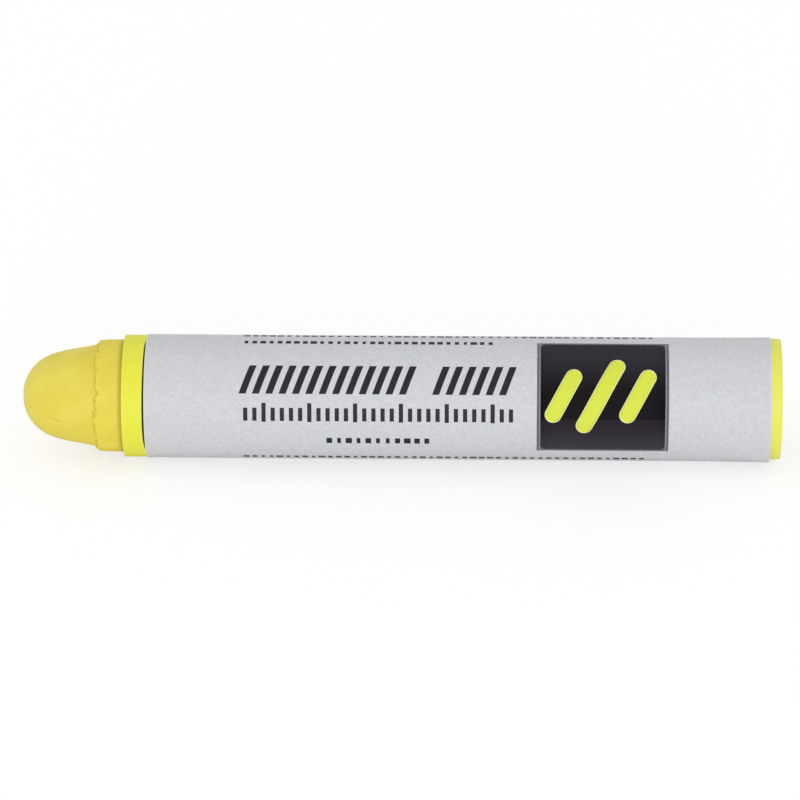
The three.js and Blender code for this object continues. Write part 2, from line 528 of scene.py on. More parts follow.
@dataclass(frozen=True)
class FluorescentPaper(Finish):
    """Glazed fluorescent yellow paper, paler where its cut edge shows the core of the sheet."""

    sizes: PenSizes
    name: str = "fluorescent_paper"
    face: Colour = colour(233, 234, 64)
    fibre: Colour = colour(228, 231, 80)
    cut: Colour = colour(238, 239, 150)
    edge: float = 0.06 * MM  # width of the pale cut
    faded: float = 0.22  # how much of the cut's paleness the rear band has
    fibres: Grain = Grain(0.3 * MM, 3.0, 5.5, (0.45, 0.8), scale=(0.4, 1.0, 1.0))
    rough_levels: Span = (0.3, 0.7)  # of the fibres
    roughness: Span = (0.42, 0.52)

    def paint(self, graph: SurfaceGraph) -> None:
        """Mixes fine fibres into the face and pales the cut ends."""
        sizes, edge, fibres = self.sizes, self.edge, graph.grain(self.fibres)
        x = graph.along(graph.place)[0]
        front = graph.ramp(x, sizes.mouth, sizes.mouth + edge, 1.0, 0.0)
        rear = graph.ramp(x, sizes.rear - edge, sizes.rear)
        band = graph.ramp(x, sizes.label_rear - edge, sizes.label_rear + edge, 0.0, self.faded)
        graph.dress(
            Base_Color=graph.coats(
                self.face,
                (graph.patches(self.fibres, fibres), self.fibre),
                (graph.highest(front, rear, band), self.cut),
            ),
            Roughness=graph.ramp(fibres, *self.rough_levels, *self.roughness),
            Specular_IOR_Level=0.35,
            Normal=graph.bump(fibres, depth=0.006 * MM),
        )


@dataclass(frozen=True)
class Board(Finish):
    """Grey-brown tube board, with yellow paint rubbed into it next to the stick."""

    sizes: PenSizes
    name: str = "tube_board"
    face: Colour = colour(206, 195, 164)
    fibre: Colour = colour(186, 173, 140)
    speck: Colour = colour(140, 124, 92)
    stain: Colour = colour(224, 210, 88)
    fibres: Grain = Grain(0.2 * MM, 4.0, 2.2, (0.35, 0.7), scale=(1.0, 0.3, 1.0))
    specks: Grain = Grain(0.26 * MM, 1.0, 7.7, (0.7, 0.76), (0.0, 0.45), (1.0, 1.0, 0.5))
    wander: Grain = Grain(1.1 * MM, 4.0, 9.4)  # of the stain's and the thumbed middle's edges
    wander_reach: float = 2.6 * MM
    stain_start: Ramp = (0.5 * MM, 1.1 * MM, 0.0, 0.8)  # outside the bore, wandering
    stain_end: Ramp = (0.02 * MM, 0.2 * MM, 1.0, 0.12)  # outside the bore
    thumbed: Ramp = (3.0 * MM, 7.5 * MM, 0.28, 0.0)  # from the axis, wandering
    roughness: Span = (0.88, 0.6)  # of plain board and of a stain

    def paint(self, graph: SurfaceGraph) -> None:
        """Mixes fibres and specks, darkens the middle where a thumb pushes, and stains the bore's edge."""
        fibres, wander = graph.grain(self.fibres), graph.grain(self.wander)
        radius, bore = graph.radius(self.sizes.axis_height), self.sizes.radius["tube_liner"]
        reach = graph.math("MULTIPLY_ADD", wander, self.wander_reach, radius)
        stained = graph.times(
            graph.ramp(graph.minus(reach, bore), *self.stain_start),
            graph.ramp(graph.minus(radius, bore), *self.stain_end),
        )
        graph.dress(
            Base_Color=graph.coats(
                self.face,
                (graph.patches(self.fibres, fibres), self.fibre),
                (graph.patches(self.specks), self.speck),
                (graph.ramp(reach, *self.thumbed), self.speck),
                (stained, self.stain),
            ),
            Roughness=graph.ramp(stained, 0.0, 1.0, *self.roughness),
            Specular_IOR_Level=0.25,
            Normal=graph.bump(fibres, depth=0.008 * MM, over=graph.bump(wander, depth=0.05 * MM)),
        )


@dataclass(frozen=True)
class WaxedPaper(Finish):
    """The waxed liner of the bore, streaked with paint along the way that the stick slides."""

    name: str = "waxed_liner"
    face: Colour = colour(222, 214, 180)
    streak: Colour = colour(226, 214, 98)
    streaks: Grain = Grain(1.3 * MM, 3.0, 1.9, shares=(0.5, 0.95), scale=(0.12, 1.0, 1.0))
    roughness: Span = (0.32, 0.5)

    def paint(self, graph: SurfaceGraph) -> None:
        """Mixes long streaks of paint over the wax."""
        streaks = graph.grain(self.streaks)
        graph.dress(
            Base_Color=graph.blend(graph.patches(self.streaks, streaks), self.face, self.streak),
            Roughness=graph.ramp(streaks, *self.streaks.levels, *self.roughness),
            Normal=graph.bump(streaks, depth=0.02 * MM),
        )


@dataclass(frozen=True)
class LabelPaper(Finish):
    """Silver-grey label paper: finely mottled and tinted, with white cut edges and a grey line along the
    lap's edge.
    """

    sizes: PenSizes
    rear: float
    lap_edge: float  # height of the edge that laps over the sheet's beginning, on the pen's back
    name: str = "silver_label"
    face: Colour = colour(208, 209, 213)
    cool: Colour = colour(201, 206, 218)
    warm: Colour = colour(214, 208, 211)
    fleck: Colour = colour(193, 194, 200)
    glint: Colour = colour(222, 223, 227)
    cut: Colour = colour(229, 229, 233)
    # a grey line along the foot of the lap's edge
    grime: Colour = colour(150, 149, 152)
    tint: Grain = Grain(1.7 * MM, 2.0, 3.1)
    flecks: Grain = Grain(0.28 * MM, 3.0, 6.6, scale=(0.6, 1.0, 1.0))
    cooled: Ramp = (0.3, 0.5, 0.35, 0.0)  # by the tint, as the next
    warmed: Ramp = (0.52, 0.7, 0.0, 0.5)
    flecked: Ramp = (0.5, 0.7, 0.0, 0.55)  # by the flecks, as the next
    glinting: Ramp = (0.3, 0.48, 0.5, 0.0)
    margin: float = 0.17 * MM  # width of the white cut
    whole: float = 0.102 * MM  # width of its part that is fully white
    fray: float = 0.08 * MM
    rear_white: float = 0.5  # share of the white at the rear, and in the next along the lap
    lap_white: float = 0.8
    lap_blur: float = 0.02 * MM
    grime_width: float = 0.2 * MM
    grime_share: float = 0.75
    roughness: Span = (0.5, 0.62)

    def paint(self, graph: SurfaceGraph) -> None:
        """Mixes tints and flecks, then adds the grey line at the lap's edge and the white margins."""
        tint, flecks = graph.grain(self.tint), graph.grain(self.flecks)
        x, y, z = graph.along(graph.place)
        over_lap = graph.minus(z, self.lap_edge)
        on_back = graph.math("GREATER_THAN", y, 0.0)
        above = graph.ramp(over_lap, 0.0, self.grime_width, self.grime_share, 0.0)
        below = graph.ramp(over_lap, -self.lap_blur, 0.0, self.grime_share, 0.0)
        frayed = graph.math("MULTIPLY_ADD", flecks, self.fray, x)
        start = self.sizes.label_front
        front = graph.ramp(frayed, start + self.margin, start + self.whole)
        rear = graph.ramp(frayed, self.rear - self.margin, self.rear - self.whole, 0.0, self.rear_white)
        under_edge = graph.ramp(over_lap, -self.margin, -self.whole)
        lapped = graph.times(under_edge, graph.ramp(over_lap, 0.0, self.lap_blur, self.lap_white, 0.0))
        graph.dress(
            Base_Color=graph.coats(
                self.face,
                (graph.ramp(tint, *self.cooled), self.cool),
                (graph.ramp(tint, *self.warmed), self.warm),
                (graph.ramp(flecks, *self.flecked), self.fleck),
                (graph.ramp(flecks, *self.glinting), self.glint),
                # a grey line along the foot of the lap's edge, on the pen's back
                (graph.times(graph.minus(above, below), on_back), self.grime),
                (graph.highest(front, rear, graph.times(lapped, on_back)), self.cut),
            ),
            Roughness=graph.ramp(flecks, *self.flecks.levels, *self.roughness),
            Specular_IOR_Level=0.3,
            Normal=graph.bump(flecks, depth=0.006 * MM, over=graph.bump(tint, depth=0.03 * MM)),
        )


@dataclass(frozen=True)
class PrintedInk(Finish):
    """Ink on the label: a little starved in places, and streaked along the pen."""

    name: str
    ink: Colour
    starved: Colour
    starving: float = 0.35  # share of the starved colour at its strongest
    roughness: float = 0.5
    specular: float = 0.25
    specks: Grain = Grain(0.16 * MM, 2.0, 5.9, (0.5, 0.75))
    streaks: Grain = Grain(0.7 * MM, 3.0, 1.1, (0.35, 0.65), (0.4, 1.0), (0.12, 1.0, 1.0))

    def full(self, graph: SurfaceGraph) -> Value:
        """Returns the colour of the ink where it isn't starved."""
        return self.ink

    def paint(self, graph: SurfaceGraph) -> None:
        """Mixes specks and streaks of starved ink into the full ink."""
        specks = graph.grain(self.specks)
        starved = graph.times(graph.patches(self.specks, specks), graph.patches(self.streaks))
        graph.dress(
            Base_Color=graph.blend(graph.times(starved, self.starving), self.full(graph), self.starved),
            Roughness=self.roughness,
            Specular_IOR_Level=self.specular,
            Normal=graph.bump(specks, depth=0.004 * MM),
        )


@dataclass(frozen=True)
class BorderInk(PrintedInk):
    """The panel's grey border, which is paler where its sides meet the black."""

    middle: float = 0.0  # station of the panel's middle
    reach: float = 0.0  # from there to the sides of the black
    pale: Colour = colour(142, 138, 147)
    pale_end: Span = (0.154 * MM, 0.286 * MM)  # from the black

    def full(self, graph: SurfaceGraph) -> Value:
        """Blends the pale grey into the border's own beside the black."""
        off_middle = graph.math("ABSOLUTE", graph.minus(graph.along(graph.place)[0], self.middle))
        past = graph.minus(off_middle, self.reach)
        beside = graph.ramp(past, *self.pale_end, 1.0, 0.0)
        return graph.blend(graph.times(beside, graph.math("GREATER_THAN", past, 0.0)), self.ink, self.pale)


@dataclass(frozen=True)
class PanelInk(PrintedInk):
    """The panel's black: screened back below a line, and paler with a painted sheen where it turns over the
    top of the tube.
    """

    foot: Colour = colour(35, 30, 38)
    foot_height: float = 11.6 * MM
    foot_blur: float = 0.1 * MM
    bottom: Colour = colour(61, 56, 65)
    bottom_height: float = 5.5 * MM
    # painted sheen: a lamp's reflection makes the black paler where it turns over the top of the tube
    crown: Colour = colour(44, 43, 51)
    crown_start: Span = (-8.4 * MM, -2.9 * MM)  # along Y

    def full(self, graph: SurfaceGraph) -> Value:
        """Blends the black to the painted sheen's grey upwards, and to the foot's below the line."""
        _, y, z = graph.along(graph.place)
        # painted sheen towards the top
        upper = graph.blend(graph.ramp(y, *self.crown_start), self.ink, self.crown)
        lower = graph.blend(graph.ramp(z, self.bottom_height, self.foot_height), self.bottom, self.foot)
        line = self.foot_height - self.foot_blur, self.foot_height + self.foot_blur
        return graph.blend(graph.ramp(z, *line, 1.0, 0.0), upper, lower)


class GeometryRecipe(NodeGraph):
    """A Geometry Nodes tree, with named inputs for its sizes."""

    def __init__(self, name: str) -> None:
        """Starts an empty tree with one geometry input and one geometry output."""
        super().__init__(bpy.data.node_groups.new(name, "GeometryNodeTree"))
        for way in ("INPUT", "OUTPUT"):
            self.tree.interface.new_socket("Geometry", in_out=way, socket_type="NodeSocketGeometry")
        self.entry = self.node("NodeGroupInput")
        self.place = self.result("GeometryNodeInputPosition")

    def takes(self, *names: str, kind: str = "Float") -> list[Socket]:
        """Adds named inputs and returns their sockets."""
        for name in names:
            self.tree.interface.new_socket(name, in_out="INPUT", socket_type=f"NodeSocket{kind}")
        return [self.entry.outputs[name] for name in names]

    def random(self, low: Value, high: Value, seed: Value) -> Socket:
        """Returns a random number for each element."""
        inputs = {2: low, 3: high, "Seed": seed}
        return self.node("FunctionNodeRandomValue", inputs, data_type="FLOAT").outputs[1]

    def move(self, geometry: Value, **where: Value) -> Socket:
        """Moves each vertex by an Offset, or to a Position."""
        return self.result("GeometryNodeSetPosition", {"Geometry": geometry, **where})

    def sink(self, geometry: Value, depth: Value) -> Socket:
        """Moves each vertex inwards by a depth."""
        normal = self.result("GeometryNodeInputNormal")
        return self.move(geometry, Offset=self.vectors("SCALE", normal, Scale=self.times(depth, -1.0)))

    def real(self, geometry: Value) -> Socket:
        """Makes instances real."""
        return self.result("GeometryNodeRealizeInstances", {0: geometry})

    def copies(self, points: Value, shape: Value, **how: Value) -> Socket:
        """Sets a real copy of a shape on each point, with a Scale and a Rotation if they are given."""
        return self.real(self.result("GeometryNodeInstanceOnPoints", {0: points, "Instance": shape, **how}))

    def give(self, geometry: Value) -> "GeometryRecipe":
        """Ends the tree: the geometry is made real and gets the input Material. Returns the tree."""
        (material,) = self.takes("Material", kind="Material")
        painting = {"Geometry": self.real(geometry), "Material": material}
        self.node("NodeGroupOutput", {0: self.result("GeometryNodeSetMaterial", painting)})
        return self

    def work(self, piece: Piece, finish: Finish, **inputs: Value) -> None:
        """Runs the tree on a piece and keeps the result as its plain mesh, with no modifier.

        Args:
            piece: What the tree works on.
            finish: The finish of the result.
            **inputs: A value for each named input. A name's underscores stand for spaces.
        """
        inputs["Material"] = finish.material()
        modifier = piece.modifiers.new(self.tree.name, "NODES")
        modifier.node_group = self.tree
        for socket in self.tree.interface.items_tree:
            key = socket.name.replace(" ", "_")
            if socket.in_out == "INPUT" and key in inputs:
                modifier[socket.identifier] = inputs[key]
        graph = bpy.context.evaluated_depsgraph_get()
        mesh = bpy.data.meshes.new_from_object(piece.evaluated_get(graph), depsgraph=graph)
        mesh.name = piece.name
        piece.modifiers.remove(modifier)
        piece.data = mesh


def ragged_rim_recipe() -> GeometryRecipe:
    """Builds the tree that tears a turned piece's front rim and dents its face.

    Returns:
        The tree. Depth and Reach say how far the rim wanders and how far back that is felt, Dent how deep the
        hollows in its face are, and Crumble how deep the pits beside the tear are.
    """
    recipe = GeometryRecipe("ragged_rim")
    rim, reach, height, radius, depth = recipe.takes("Rim", "Reach", "Axis Height", "Radius", "Depth")
    grain, dent, dent_size, crumble, seed = recipe.takes("Grain", "Dent", "Dent Size", "Crumble", "Seed")
    torn = recipe.torn(recipe.place, height, radius, grain, seed)
    felt = recipe.ramp(recipe.along(recipe.place)[0], rim, recipe.plus(rim, reach), 1.0, 0.0)
    shift = recipe.times(recipe.times(torn, depth), felt)
    moved = recipe.move(recipe.entry.outputs[0], Offset=recipe.vector(shift, 0.0, 0.0))
    hollow = recipe.times(recipe.noise(recipe.place, dent_size, detail=2.0, seed=seed), dent)
    pits = recipe.noise(recipe.place, recipe.times(dent_size, PIT_SIZE), detail=2.0, seed=seed)
    crumbled = recipe.times(recipe.times(recipe.ramp(pits, *PIT_RAMP), crumble), felt)
    return recipe.give(recipe.sink(moved, recipe.plus(hollow, crumbled)))


def worn_nose_recipe() -> GeometryRecipe:
    """Builds the tree that wears shallow hollows and one crease into the nose.

    Returns:
        The tree. The wear fades out over Fade in front of the station Foot, and the crease runs straight from
        From to To.
    """
    recipe = GeometryRecipe("worn_nose")
    foot, fade, depth, size = recipe.takes("Foot", "Fade", "Depth", "Size")
    seed, crease, width = recipe.takes("Seed", "Crease", "Width")
    start, end = recipe.takes("From", "To", kind="Vector")
    creased = recipe.times(recipe.creased(recipe.place, start, end, width), crease)
    hollow = recipe.times(recipe.swing(recipe.place, size, detail=2.0, seed=seed), depth)
    front = recipe.ramp(recipe.along(recipe.place)[0], recipe.minus(foot, fade), foot, 1.0, 0.0)
    worn = recipe.times(recipe.plus(creased, hollow), front)
    return recipe.give(recipe.sink(recipe.entry.outputs[0], worn))


def crumbs_recipe() -> GeometryRecipe:
    """Builds the tree that scatters lumpy crumbs round the pen.

    Returns:
        The tree. The crumbs lie between two stations and follow the torn rim, at a radius that slopes from
        Front Radius to Rear Radius. Each is Least to Most across and Short to Long times as long.
    """
    recipe = GeometryRecipe("crumbs")
    count, seed = recipe.takes("Count", "Seed", kind="Int")
    front, rear, front_radius, rear_radius = recipe.takes("Front", "Rear", "Front Radius", "Rear Radius")
    least, most, short, long, spin = recipe.takes("Least", "Most", "Short", "Long", "Spin")
    height, depth, grain, tear_seed = recipe.takes("Axis Height", "Depth", "Grain", "Tear Seed")
    lump_size, lump_height, lump_seed = recipe.takes("Lump Size", "Lump Height", "Lump Seed")
    turn = recipe.random(0.0, 2 * math.pi, seed)
    share = recipe.random(0.0, 1.0, recipe.plus(seed, 1))
    reach = recipe.ramp(share, 0.0, 1.0, front_radius, rear_radius)
    y = recipe.times(recipe.math("COSINE", turn), reach)
    z = recipe.plus(recipe.times(recipe.math("SINE", turn), reach), height)
    torn = recipe.torn(recipe.vector(0.0, y, z), height, front_radius, grain, tear_seed)
    x = recipe.math("MULTIPLY_ADD", torn, depth, recipe.ramp(share, 0.0, 1.0, front, rear))
    points = recipe.result("GeometryNodePoints", {"Count": count, "Position": recipe.vector(x, y, z)})
    size = recipe.random(least, most, recipe.plus(seed, 2))
    length = recipe.times(size, recipe.random(short, long, recipe.plus(seed, 3)))
    crumbs = recipe.copies(
        points,
        recipe.result("GeometryNodeMeshIcoSphere", {"Radius": 0.5, "Subdivisions": 2}),
        Rotation=recipe.vector(turn, share, recipe.times(share, spin)),
        Scale=recipe.vector(length, size, size),
    )
    lumps = recipe.swing(recipe.place, lump_size, detail=1.0, seed=lump_seed)
    return recipe.give(recipe.sink(crumbs, recipe.times(lumps, lump_height)))


def wrap_recipe() -> GeometryRecipe:
    """Builds the tree that wraps flat print round the pen and gives it the thickness of ink.

    Returns:
        The tree. Flat print lies in X and Y, with Y measured along the paper upwards from the turn Facing.
        Vertices nearer to each other than Weld become one.
    """
    recipe = GeometryRecipe("wrapped_print")
    facing, radius, height = recipe.takes("Facing", "Radius", "Axis Height")
    thickness, weld = recipe.takes("Thickness", "Weld")
    x, y, _ = recipe.along(recipe.place)
    turn = recipe.plus(facing, recipe.math("DIVIDE", y, radius))
    out = recipe.times(recipe.math("COSINE", turn), recipe.times(radius, -1.0))
    up = recipe.plus(recipe.times(recipe.math("SINE", turn), radius), height)
    wrapped = recipe.move(recipe.entry.outputs[0], Position=recipe.vector(x, out, up))
    raising = {"Mesh": wrapped, "Offset Scale": thickness, "Individual": False}
    joined = recipe.node("GeometryNodeJoinGeometry")
    recipe.feed(joined.inputs[0], recipe.result("GeometryNodeExtrudeMesh", raising))
    recipe.feed(joined.inputs[0], recipe.result("GeometryNodeFlipFaces", {0: wrapped}))
    return recipe.give(
        recipe.result("GeometryNodeMergeByDistance", {"Geometry": joined.outputs[0], "Distance": weld})
    )


def mark_row_recipe() -> GeometryRecipe:
    """Builds the tree that sets a row of equal marks side by side, flat, in X and Y.

    Returns:
        The tree. Slant leans the marks over, and Spread makes some of them narrower.
    """
    recipe = GeometryRecipe("mark_row")
    start, length, pitch, width = recipe.takes("Start", "Length", "Pitch", "Width")
    height, rise, slant, spread = recipe.takes("Height", "Rise", "Slant", "Spread")
    (seed,) = recipe.takes("Seed", kind="Int")
    middles = {
        "Count": recipe.math("ROUND", recipe.math("DIVIDE", length, pitch)),
        "Start Location": recipe.vector(recipe.plus(start, recipe.times(pitch, 0.5)), rise, 0.0),
        "Offset": recipe.vector(pitch, 0.0, 0.0),
    }
    line = recipe.result("GeometryNodeMeshLine", middles, mode="OFFSET")
    grid = {"Size X": width, "Size Y": height, "Vertices X": 3, "Vertices Y": 11}
    narrowed = recipe.random(recipe.minus(1.0, spread), 1.0, recipe.plus(seed, 1))
    mark = recipe.result("GeometryNodeMeshGrid", grid)
    row = recipe.copies(line, mark, Scale=recipe.vector(narrowed, 1.0, 1.0))
    lean = recipe.times(recipe.minus(recipe.along(recipe.place)[1], rise), slant)
    return recipe.give(recipe.move(row, Offset=recipe.vector(lean, 0.0, 0.0)))


def placed(name: str, thing: bpy.types.ID) -> Piece:
    """Puts a mesh, a lamp or a camera into the scene as an object."""
    piece = bpy.data.objects.new(name, thing)
    bpy.context.scene.collection.objects.link(piece)
    return piece


def piece_from(name: str, places: np.ndarray, faces: list[Face], finish: Finish) -> Piece:
    """Makes a smooth-shaded piece from its vertices and faces.

    Args:
        name: The piece's name.
        places: One row of X, Y and Z for each vertex.
        faces: Vertex numbers of each face, turned outwards.
        finish: The finish of the whole piece.

    Returns:
        The piece, in the scene.
    """
    mesh = bpy.data.meshes.new(name)
    mesh.from_pydata(places.tolist(), [], faces)
    mesh.shade_smooth()
    mesh.set_sharp_from_angle(angle=SHARP_EDGE)
    mesh.materials.append(finish.material())
    return placed(name, mesh)


def finer(outline: Outline, step: float) -> Outline:
    """Adds points to an outline, so that none of its stretches is longer than a step."""
    points = [outline[0]]
    for (x0, r0), (x1, r1) in zip(outline, outline[1:]):
        parts = max(1, math.ceil(math.hypot(x1 - x0, r1 - r0) / step))
        for part in range(1, parts + 1):
            points.append((x0 + (x1 - x0) * part / parts, r0 + (r1 - r0) * part / parts))
    return points


def turned(name: str, outline: Outline, sizes: PenSizes, finish: Finish) -> Piece:
    """Turns an outline about the pen's axis into a closed piece.

    Args:
        name: The piece's name.
        outline: Stations and radii, from the front over the outside to the rear. It starts and ends on the
            axis, or comes back to its first point.
        sizes: The pen's sizes.
        finish: The finish of the whole piece.

    Returns:
        The piece, in the scene.
    """
    looped = outline[0] == outline[-1]
    turns = np.arange(SIDES) * 2 * math.pi / SIDES
    places, rings = [], []
    for x, radius in outline[:-1] if looped else outline:
        count = SIDES if radius > 0 else 1
        rings.append([len(places) + side % count for side in range(SIDES)])
        places += [sizes.on_pen(x, radius, turn) for turn in turns[:count]]
    faces = []
    for here, there in zip(rings, rings[1:] + rings[:1] if looped else rings[1:]):
        for side in range(SIDES):
            after = (side + 1) % SIDES
            corners = (here[side], there[side], there[after], here[after])
            faces.append(tuple(dict.fromkeys(corners)))
    return piece_from(name, np.array(places), faces, finish)


def reshape(piece: Piece, axis_height: float, change: Reshaping) -> None:
    """Changes the radius of each of a piece's vertices.

    Args:
        piece: The piece.
        axis_height: Height of the axis.
        change: Gives the new radii from the stations, the radii and the turns.
    """
    flat = np.empty(len(piece.data.vertices) * 3, dtype=np.float32)
    piece.data.vertices.foreach_get("co", flat)
    places = flat.reshape(-1, 3).astype(float)
    turn = np.arctan2(places[:, 2] - axis_height, -places[:, 1])
    radius = change(places[:, 0], np.hypot(places[:, 1], places[:, 2] - axis_height), turn)
    places[:, 1] = -radius * np.cos(turn)
    places[:, 2] = axis_height + radius * np.sin(turn)
    piece.data.vertices.foreach_set("co", places.astype(np.float32).ravel())
    piece.data.update()


def swell(distance: np.ndarray) -> np.ndarray:
    """Returns 1 at a distance of nought, and falls smoothly to 0 at a distance of 1 either way."""
    return np.where(np.abs(distance) < 1, (1 + np.cos(math.pi * distance)) / 2, 0.0)


def turned_from(turn: np.ndarray, middle: float) -> np.ndarray:
    """Returns how far each turn is from a middle turn, the short way round."""
    return (turn - middle + math.pi) % (2 * math.pi) - math.pi


def enlist(piece: Piece, body: Body, slot: Slot, *nodes: str) -> None:
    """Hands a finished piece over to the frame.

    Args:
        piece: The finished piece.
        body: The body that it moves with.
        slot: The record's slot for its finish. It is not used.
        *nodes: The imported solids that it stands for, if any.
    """
    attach(piece, body.value)
    if nodes:
        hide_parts(*nodes)
    LOG.info("%s: %d faces on the %s", piece.name, len(piece.data.polygons), body.value)


@dataclass
class PaintStick:
    """The hardened paint, its torn skin with crumbs, and the card follower behind it."""

    sizes: PenSizes
    ball_steps: int = 90
    flank_step: float = 0.12 * MM
    body_step: float = 2.5 * MM
    lip_round: float = 0.28 * MM
    lip_steps: int = 6
    lip_bite: float = 0.12 * MM  # how deep the lip's foot is pressed into the paint
    lip_foot: float = 0.22 * MM  # how far the lip's foot reaches in front of its face
    lip_draw_in: float = 0.12 * MM  # the skin is this much slimmer at its lip than further back
    lip_flare: float = 1.2 * MM  # length over which the skin thickens behind its lip
    lip_back: float = 0.12 * MM  # from the foot of the nose to the lip's mean station
    skin_gap: float = 0.02 * MM
    bond: float = 0.02 * MM
    follower_chamfer: float = 0.3 * MM
    follower_dish: float = 0.12 * MM
    dish_steps: int = 12
    wear: float = 0.04 * MM  # over the whole nose
    tip_wear: float = 0.17 * MM  # where the tip has been rubbed flat
    tip_round: float = 0.05 * MM  # between the flat and the ball
    shoulder: float = 4.3 * MM  # behind the tip, where the nose is worn most
    shoulder_reach: float = 3.2 * MM
    shoulder_wear: float = 0.11 * MM
    crumbs: Span = (-0.42 * MM, 0.22 * MM)  # stations of the foremost and the rearmost, from the lip
    crumb_rise: Span = (-0.1 * MM, 0.42 * MM)  # of the same two, from the bare paint
    crease_ends: tuple[tuple[float, float, float], ...] = (  # station, radius and turn of each
        (-54.2 * MM, 6.33 * MM, math.radians(0.7)),
        (-52.4 * MM, 6.87 * MM, math.radians(-4.6)),
    )

    @property
    def tear(self) -> Tear:
        """The tear round the foot of the nose."""
        return Tear(self.sizes.nose_foot + self.lip_back, self.sizes.axis_height, self.sizes.neck_radius)

    @property
    def crease(self) -> Crease:
        """The crease in the nose, between its two ends."""
        return Crease(*(Vector(self.sizes.on_pen(*end)) for end in self.crease_ends))

    def nose_outline(self) -> Outline:
        """Gives the worn nose: a ball, then a straight flank that leaves it without a corner.

        Returns:
            Stations and radii from the tip to the foot of the nose.
        """
        sizes = self.sizes
        slope = math.sin(sizes.nose_taper)
        ball = (sizes.neck_radius * math.cos(sizes.nose_taper) - sizes.nose_length * slope) / (1 - slope)
        steepest = math.pi / 2 - sizes.nose_taper
        bends = [steepest * step / self.ball_steps for step in range(self.ball_steps + 1)]
        outline = [(sizes.tip + ball * (1 - math.cos(bend)), ball * math.sin(bend)) for bend in bends]
        flank = finer([outline[-1], (sizes.nose_foot, sizes.neck_radius)], self.flank_step)[1:]
        worn = []
        for (x, radius), bend in zip(outline + flank, bends + [steepest] * len(flank)):
            behind = x - sizes.tip
            at_shoulder = float(swell((behind - self.shoulder) / self.shoulder_reach))
            wear = self.wear + self.shoulder_wear * at_shoulder
            behind += wear * math.cos(bend) - self.tip_wear
            behind = self.tip_wear + (behind + math.hypot(behind, self.tip_round)) / 2
            worn.append((sizes.tip + behind, max(radius - wear * math.sin(bend), 0.0)))
        return worn

    def build_paint(self) -> None:
        """Makes the paint, from its nose to the face that the follower pushes."""
        sizes, crease = self.sizes, self.crease
        radius = sizes.radius["paint_stick"]
        end = sizes.follower_front - self.bond
        neck_end = sizes.skin_rear + self.skin_gap
        body = finer([(neck_end, radius), (end, radius)], self.body_step)
        outline = self.nose_outline() + [(neck_end, sizes.neck_radius)] + body + [(end, 0.0)]
        finish = WaxyPaint(self.tear, crease)
        paint = turned("hardened_paint", outline, sizes, finish)
        worn_nose_recipe().work(
            paint,
            finish,
            Foot=sizes.nose_foot,
            Fade=0.3 * MM,
            Depth=0.1 * MM,
            Size=2.6 * MM,
            Seed=2.0,
            From=crease.start,
            To=crease.end,
            Crease=crease.depth,
            Width=crease.width,
        )
        enlist(paint, Body.STICK, Slot.PAINT, "paint_stick")

    def build_skin(self) -> None:
        """Makes the collar of dried skin, then tears its lip and dents its face."""
        sizes, tear = self.sizes, self.tear
        lip, outer, inner = tear.rim, sizes.radius["paint_stick"], sizes.neck_radius + self.skin_gap
        rim = outer - self.lip_draw_in
        outline = [(lip + self.lip_flare, inner), (lip - self.lip_foot, inner - self.lip_bite)]
        for step in range(self.lip_steps + 1):
            bend = math.pi / 2 * step / self.lip_steps
            behind, under = self.lip_round * (1 - math.cos(bend)), self.lip_round * (1 - math.sin(bend))
            outline.append((lip + behind, rim - under))
        face = [outline[-1], (lip + self.lip_flare, outer), (sizes.skin_rear, outer)]
        outline += finer(face, self.flank_step)[1:]
        outline += [(sizes.skin_rear, inner), outline[0]]
        finish = DriedSkin(sizes.mouth)
        skin = turned("dried_skin_collar", outline, sizes, finish)
        ragged_rim_recipe().work(
            skin,
            finish,
            Rim=tear.rim,
            Reach=1.1 * MM,
            Axis_Height=tear.axis_height,
            Radius=tear.radius,
            Depth=tear.depth,
            Grain=tear.grain,
            Dent=0.035 * MM,
            Dent_Size=1.3 * MM,
            Crumble=0.12 * MM,
            Seed=tear.seed,
        )
        enlist(skin, Body.STICK, Slot.DRIED_SKIN, "paint_skin")

    def build_crumbs(self) -> None:
        """Scatters the crumbs that the peeled skin left at its lip."""
        tear, finish = self.tear, DriedSkin(self.sizes.mouth)
        front, rear = (tear.rim + past for past in self.crumbs)
        front_radius, rear_radius = (tear.radius + rise for rise in self.crumb_rise)
        crumbs = piece_from("skin_crumbs", np.zeros((0, 3)), [], finish)
        crumbs_recipe().work(
            crumbs,
            finish,
            Count=190,
            Seed=11,
            Front=front,
            Rear=rear,
            Front_Radius=front_radius,
            Rear_Radius=rear_radius,
            Least=0.1 * MM,
            Most=0.36 * MM,
            Short=0.6,
            Long=1.6,
            Spin=40.0,
            Axis_Height=tear.axis_height,
            Depth=tear.depth,
            Grain=tear.grain,
            Tear_Seed=tear.seed,
            Lump_Size=0.12 * MM,
            Lump_Height=0.1 * MM,
            Lump_Seed=0.4,
        )
        enlist(crumbs, Body.STICK, Slot.DRIED_SKIN)

    def build_follower(self) -> None:
        """Makes the card follower, with pressed rims and a face dished by use."""
        front, rear, chamfer = self.sizes.follower_front, self.sizes.follower_rear, self.follower_chamfer
        radius = self.sizes.radius["follower_disc"]
        face = radius - chamfer
        outline = [
            (front, 0.0),
            (front, face),
            (front + chamfer, radius),
            (rear - chamfer, radius),
            (rear, face),
        ]
        for step in range(1, self.dish_steps + 1):
            share = 1 - step / self.dish_steps
            outline.append((rear - self.follower_dish * (1 - share**2), face * share))
        follower = turned("card_follower", outline, self.sizes, Board(self.sizes))
        enlist(follower, Body.STICK, Slot.BOARD, "follower_disc")


